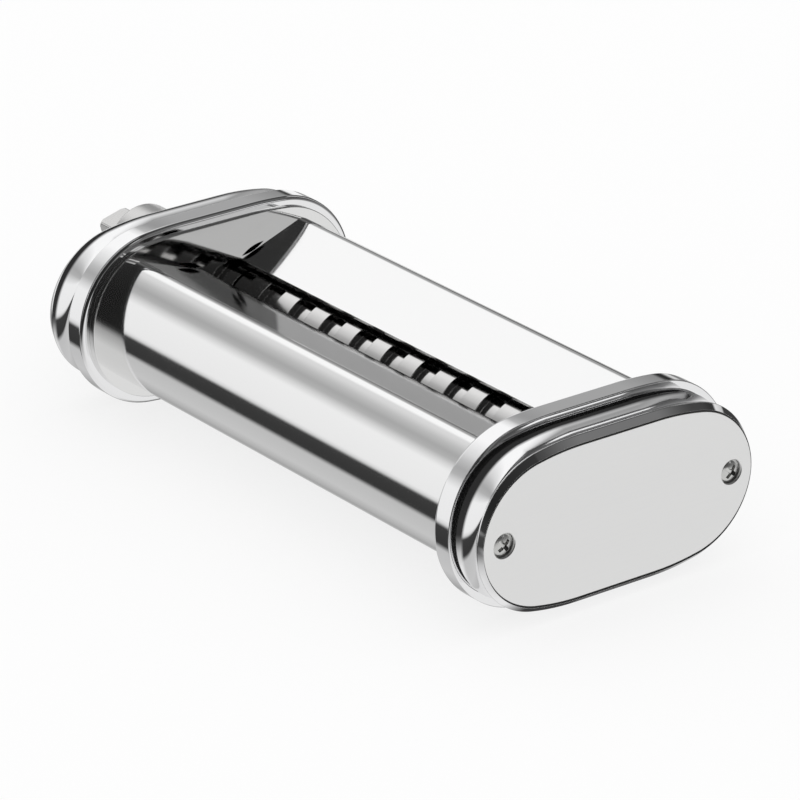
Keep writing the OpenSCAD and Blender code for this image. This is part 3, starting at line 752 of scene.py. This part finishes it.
def makeDrive():
    # A turned shaft, and a square bar with rounded corners whose outer end is cut by a cone
    s, d = station, driveShape
    shaftIn, tangFoot = s["flangeIn"] + 0.3, s["tangIn"] + 0.5
    gearIn, gearOut = d["gear"]
    journal, groove, ringOut = d["journal"], d["journal"] - d["ring"][0], gearOut + d["ring"][1]
    shaft = roundCorners([(shaftIn, 0.02), (shaftIn, d["inner"], 0.3), (gearIn, d["inner"]),
                          (gearIn, journal), (gearOut, journal), (gearOut, groove), (ringOut, groove),
                          (ringOut, journal), (tangFoot, journal), (tangFoot, 0.02)], 3)
    axis = (inputAxis["y"], inputAxis["z"])
    drive = sweepAround("inputShaft", circleOutline(0, 72, *axis), shaft, mirrored=True)
    half, corner, tilt = d["tang"] / 2, d["tangCorner"], np.radians(d["tilt"])
    square = roundCorners([(half, -half, corner), (half, half, corner), (-half, half, corner),
                           (-half, -half, corner)], 5, closed=True)
    turned = square @ np.array([[np.cos(tilt), np.sin(tilt)], [-np.sin(tilt), np.cos(tilt)]])
    tang = sweepAlongX("tang", turned + axis, s["tangIn"], s["tangOut"], mirrored=True)
    coneIn, coneOut, wide = s["tangOut"] - d["tangBevel"], s["tangOut"], d["tang"]
    tip = wide * d["tangTip"]
    cone = roundCorners([(s["tangIn"] - 1, 0.02), (s["tangIn"] - 1, wide), (coneIn, wide), (coneIn, tip),
                         (coneOut, tip - d["tangBevel"]), (coneOut, 0.02)], 3)
    envelope = sweepAround("cutter", circleOutline(0, 96, *axis), cone, mirrored=True)
    combine(tang, [envelope], "INTERSECT")
    combine(drive, [tang], "UNION")
    return dress(drive, "drive", turnedSteel, ["input_shaft"])


makeFlange("idleFlange", "idle_flange", False)
makeFlange("driveFlange", "drive_flange", True)
print("flanges ready")
makeCap("idleCap", "idle_cover", False, capShape["plate"])
makeCap("gearHousing", "gear_housing", True, 0)
makeEndPlate()
makeScrews("endPlateScrews", "end_plate_screws", False)
makeScrews("housingScrews", "housing_screws", True)
print("caps ready")
makeCover("frontCover", "front_cover", True)
makeCover("rearCover", "rear_cover", False)
makeSidePlate("idleSidePlate", "idle_side_plate", False)
makeSidePlate("driveSidePlate", "drive_side_plate", True)
makeRoller("rearRoller", "rear_cutter_roller", "rear_roller", rearPlace)
makeRoller("frontRoller", "front_cutter_roller", "front_roller", frontPlace)
makeBoss()
makeDrive()
print("body and drive ready")

# pieces that keep the frame's own mesh and only take a material
plainNodes = {
    "sinteredBronze": ["hub_bush", "front_drive_bush", "rear_drive_bush", "front_idle_bush", "rear_idle_bush",
                       "input_bush"],
    "gearSteel": ["input_pinion", "rear_drive_gear", "rear_sync_gear", "front_sync_gear"],
    "blackSeal": ["drive_seal", "idle_seal"],
    "combPlastic": ["front_comb", "rear_comb"],
    "turnedSteel": ["tie_rods"],
    "screwSteel": ["tie_rod_nuts", "input_ring", "rear_drive_ring", "rear_idle_ring", "front_drive_ring",
                   "front_idle_ring"]}
for materialName, names in plainNodes.items():
    for nodeName in names:
        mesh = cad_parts[nodeName].data
        mesh.materials.clear()
        mesh.materials.append(bpy.data.materials[materialName])


# Studio
studio = {"floorSize": 30.0, "floorTone": 0.93, "floorGlow": 0.78, "diffuse": 1.05}


def makeFloor():
    # A flat square that takes the shadow; a share of its tone, for the camera alone, is a plain white glow
    size = studio["floorSize"]
    corners = [(-size, -size, 0), (size, -size, 0), (size, size, 0), (-size, size, 0)]
    mesh = bpy.data.meshes.new("floor")
    mesh.from_pydata(corners, [], [(0, 1, 2, 3)])
    floor = bpy.data.objects.new("floor", mesh)
    bpy.context.scene.collection.objects.link(floor)
    material, w, surface = startMaterial("paleFloor")
    surface.inputs["Base Color"].default_value = (*[studio["floorTone"]] * 3, 1)
    surface.inputs["Roughness"].default_value = 0.9
    surface.inputs["Specular IOR Level"].default_value = 0.0
    glow = w.node("Emission")
    glow.inputs["Strength"].default_value = 1.0
    mix = w.node("MixShader")
    paths = w.node("LightPath")
    seen = w.math("MULTIPLY", paths.outputs["Is Camera Ray"], studio["floorGlow"])
    w.join(seen, mix.inputs[0])
    w.join(surface.outputs[0], mix.inputs[1])
    w.join(glow.outputs[0], mix.inputs[2])
    w.join(mix.outputs[0], w.tree.nodes["Material Output"].inputs["Surface"])
    mesh.materials.append(material)
    floor.visible_glossy = False


# Stops of the studio's tone round the X axis, in degrees from +Y over +Z
leftTones = [(0, 0.70), (6, 0.05), (12, 0.02), (16, 0.08), (20, 0.28), (34, 0.42), (43, 0.34), (51, 0.80),
             (60, 1.08), (92, 1.08), (115, 0.78), (124, 0.58), (134, 0.44), (142, 0.50), (149, 0.74),
             (157, 0.97), (197, 0.94), (202, 0.75), (206, 0.05), (229, 0.04), (236, 0.58), (268, 0.62),
             (285, 0.50), (300, 0.38), (312, 0.54), (325, 0.50), (338, 0.48), (345, 0.20), (351, 0.22),
             (356, 0.72), (360, 0.70)]
middleTones = [(0, 0.05), (60, 0.03), (150, 0.03), (200, 0.04), (208, 0.15), (222, 0.6), (242, 0.9),
               (278, 0.9), (287, 0.4), (295, 0.05), (330, 0.05), (360, 0.05)]
acrossTones = [(0, 0.35), (8, 0.5), (20, 0.85), (44, 0.95), (48, 0.16), (74, 0.12), (79, 0.9), (120, 1.0),
               (160, 0.85), (172, 0.5), (180, 0.35), (186, 0.06), (198, 0.05), (206, 0.5), (230, 0.72),
               (270, 0.8), (310, 0.72), (334, 0.5), (342, 0.05), (354, 0.06), (360, 0.35)]
rightTones = [(0, 0.25), (20, 0.12), (38, 0.08), (50, 0.20), (58, 0.14), (68, 0.04), (100, 0.03),
              (150, 0.02), (200, 0.02), (206, 0.06), (216, 0.5), (240, 0.85), (340, 0.9), (352, 0.5),
              (360, 0.25)]
# Left tones hold past the drive end; each zone after it fades in between two values of X
zones = [("middle", -0.52, -0.42), ("across", -0.10, -0.07), ("middle", 0.05, 0.08), ("right", 0.15, 0.38)]
# Round cards over all of it: the way to the middle, the angles where one starts and is full, and its tone
cards = [{"towards": (0.769, 0.248, 0.588), "edge": (6.5, 4.5), "tone": 0.66},
         {"towards": (0.79, 0.562, 0.25), "edge": (4.5, 3.0), "tone": 1.2},
         {"towards": (-0.815, 0.565, -0.02), "edge": (10.5, 8.0), "tone": 1.0}]


def toneRamp(w, place, stops):
    # Straight lines between the stops; a ramp holds 32 of them at most
    ramp = w.node("ValToRGB")
    ramp.color_ramp.interpolation = "LINEAR"
    items = ramp.color_ramp.elements
    while len(items) < len(stops):
        items.new(0.5)
    for item, (angle, tone) in zip(items, stops):
        item.position = angle / 360
        item.color = (tone, tone, tone, 1)
    w.join(place, ramp.inputs[0])
    return ramp.outputs[0]


def makeStudioLight():
    # Tone by direction: the angle round X picks the tone, X blends the zones, and the cards lie on top.
    # The camera sees white, and surfaces that scatter light get an even one
    world = bpy.data.worlds.new("studio")
    bpy.context.scene.world = world
    world.use_nodes = True
    w = Wiring(world.node_tree)
    split = w.node("SeparateXYZ")
    direction = w.node("TexCoord").outputs["Generated"]
    w.join(direction, split.inputs[0])
    angle = w.math("DIVIDE", w.math("ARCTAN2", split.outputs[2], split.outputs[1]), 2 * np.pi)
    angle = w.math("FRACT", w.math("ADD", angle, 1.0))
    tone = toneRamp(w, angle, leftTones)
    ramps = {"middle": toneRamp(w, angle, middleTones), "right": toneRamp(w, angle, rightTones),
             "across": toneRamp(w, angle, acrossTones)}
    for zone, start, full in zones:
        mix = w.node("Mix", data_type="RGBA")
        w.join(w.range(split.outputs[0], start, full, 0.0, 1.0), mix.inputs[0])
        w.join(tone, mix.inputs[6])
        w.join(ramps[zone], mix.inputs[7])
        tone = mix.outputs[2]
    for card in cards:
        towards = np.array(card["towards"]) / np.linalg.norm(card["towards"])
        near = w.node("VectorMath", operation="DOT_PRODUCT")
        w.join(direction, near.inputs[0])
        near.inputs[1].default_value = towards.tolist()
        mix = w.node("Mix", data_type="RGBA")
        w.join(w.range(near.outputs["Value"], *np.cos(np.radians(card["edge"])), 0.0, 1.0), mix.inputs[0])
        w.join(tone, mix.inputs[6])
        mix.inputs[7].default_value = (*[card["tone"]] * 3, 1)
        tone = mix.outputs[2]
    paths = w.node("LightPath")
    white = w.node("Mix", data_type="RGBA")
    w.join(paths.outputs["Is Camera Ray"], white.inputs[0])
    w.join(tone, white.inputs[6])
    white.inputs[7].default_value = (1, 1, 1, 1)
    diffuse = w.node("Mix", data_type="RGBA")
    w.join(paths.outputs["Is Diffuse Ray"], diffuse.inputs[0])
    w.join(white.outputs[2], diffuse.inputs[6])
    diffuse.inputs[7].default_value = (*[studio["diffuse"]] * 3, 1)
    back = w.tree.nodes["Background"]
    w.join(diffuse.outputs[2], back.inputs["Color"])
    back.inputs["Strength"].default_value = 1.0


view = {"azimuth": 52.223, "elevation": 23.468, "roll": 0.3721, "lens": 230.56,
        "place": (1.1173, -0.8482, 0.6277)}


def makeCamera():
    # Back = (sin a cos e, -cos a cos e, sin e), right = (cos a, sin a, 0), up = back x right, then rolled
    a, e, r = np.radians([view["azimuth"], view["elevation"], view["roll"]])
    back = np.array([np.sin(a) * np.cos(e), -np.cos(a) * np.cos(e), np.sin(e)])
    right = np.array([np.cos(a), np.sin(a), 0])
    up = np.cross(back, right)
    columns = [right * np.cos(r) + up * np.sin(r), -right * np.sin(r) + up * np.cos(r), back]
    camera = bpy.data.objects.new("camera", bpy.data.cameras.new("camera"))
    camera.data.lens = view["lens"]
    camera.data.sensor_width = 36.0
    camera.data.clip_end = 100.0
    turn = Matrix(np.array(columns).T.tolist()).to_4x4()
    camera.matrix_world = Matrix.Translation(view["place"]) @ turn
    bpy.context.scene.collection.objects.link(camera)
    bpy.context.scene.camera = camera


makeFloor()
makeStudioLight()
makeCamera()
bpy.context.scene.view_settings.view_transform = "Standard"
print("studio ready")
